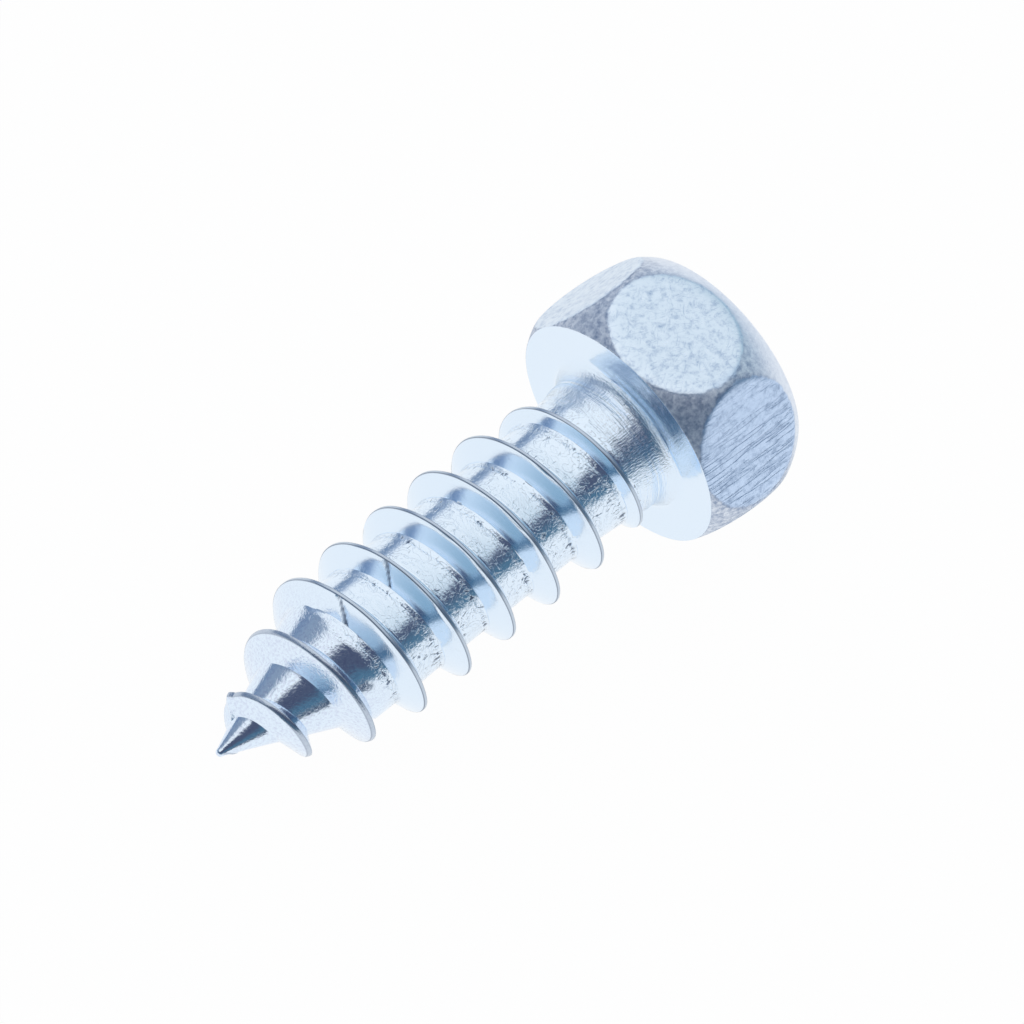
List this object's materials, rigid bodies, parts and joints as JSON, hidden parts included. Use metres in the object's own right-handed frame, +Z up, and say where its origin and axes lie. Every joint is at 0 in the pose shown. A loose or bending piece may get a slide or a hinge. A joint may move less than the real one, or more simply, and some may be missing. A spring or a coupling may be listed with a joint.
{
  "type": "hex head self-tapping screw",
  "caption": "Hex head self-tapping screw with a coarse spaced thread, a cone point and a plain neck under a rounded hexagon head, in bright zinc plated steel.",
  "frame": {"origin": "centre of the footprint, on the floor that the screw lies on", "axes": "+X along the screw from its point towards its head, +Z up from the floor"},
  "size_m": [0.0204, 0.0092, 0.0084],
  "materials": {
    "zinc_plated_steel": "bright blue-white zinc plating with fine scratches"
  },
  "bodies": {
    "root": {"screw": "zinc_plated_steel"}
  },
  "joints": []
}
